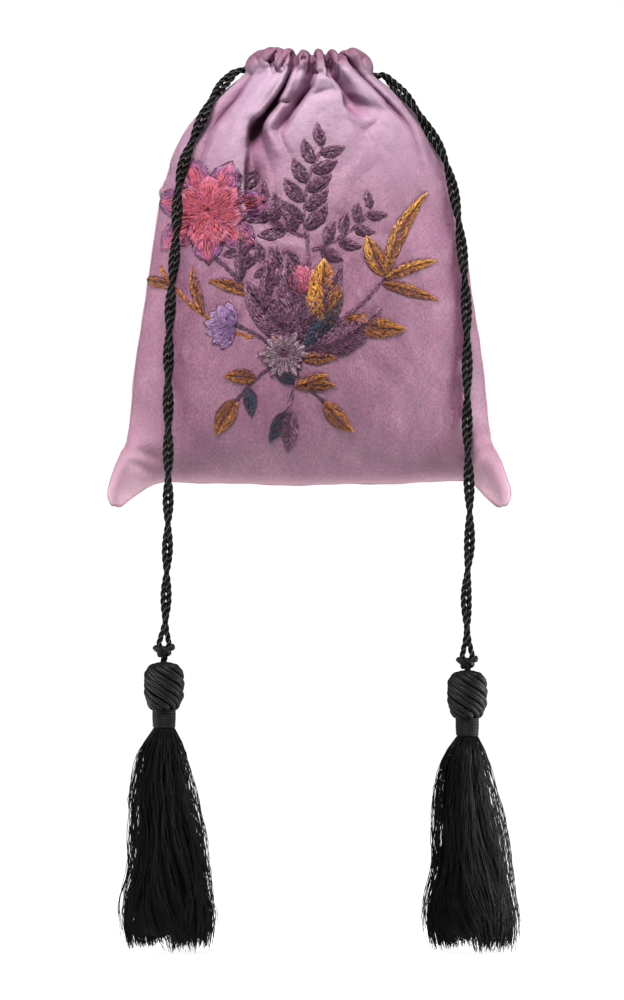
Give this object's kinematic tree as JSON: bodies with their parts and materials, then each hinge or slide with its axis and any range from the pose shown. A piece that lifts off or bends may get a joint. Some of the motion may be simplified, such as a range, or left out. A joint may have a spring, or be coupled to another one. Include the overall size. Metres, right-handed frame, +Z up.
{
  "type": "drawstring bag",
  "caption": "Gathered cloth drawstring bag with a folded casing at the neck, pointed lower corners, twisted drawstrings over the shoulders and long fringe tassels.",
  "frame": {"origin": "middle of the drawn neck, level with the drawstrings, where the bag is held up", "axes": "+Z up out of the mouth, -Y towards the front, +X to the right seen from the front"},
  "size_m": [0.237, 0.0883, 0.524],
  "materials": {
    "cloth": "soft napped cloth",
    "cord": "twisted silky cord",
    "fringe": "fine silky threads"
  },
  "bodies": {
    "root": {"front_panel": "cloth", "back_panel": "cloth", "drawstring_left_run": "cord", "drawstring_left_front": "cord", "drawstring_left_back": "cord", "drawstring_right_run": "cord", "drawstring_right_front": "cord", "drawstring_right_back": "cord", "tassel_left_knot": "cord", "tassel_left_loop": "cord", "tassel_left_head": "cord", "tassel_left_neck": "cord", "tassel_left_skirt": "fringe", "tassel_right_knot": "cord", "tassel_right_loop": "cord", "tassel_right_head": "cord", "tassel_right_neck": "cord", "tassel_right_skirt": "fringe"}
  },
  "joints": []
}
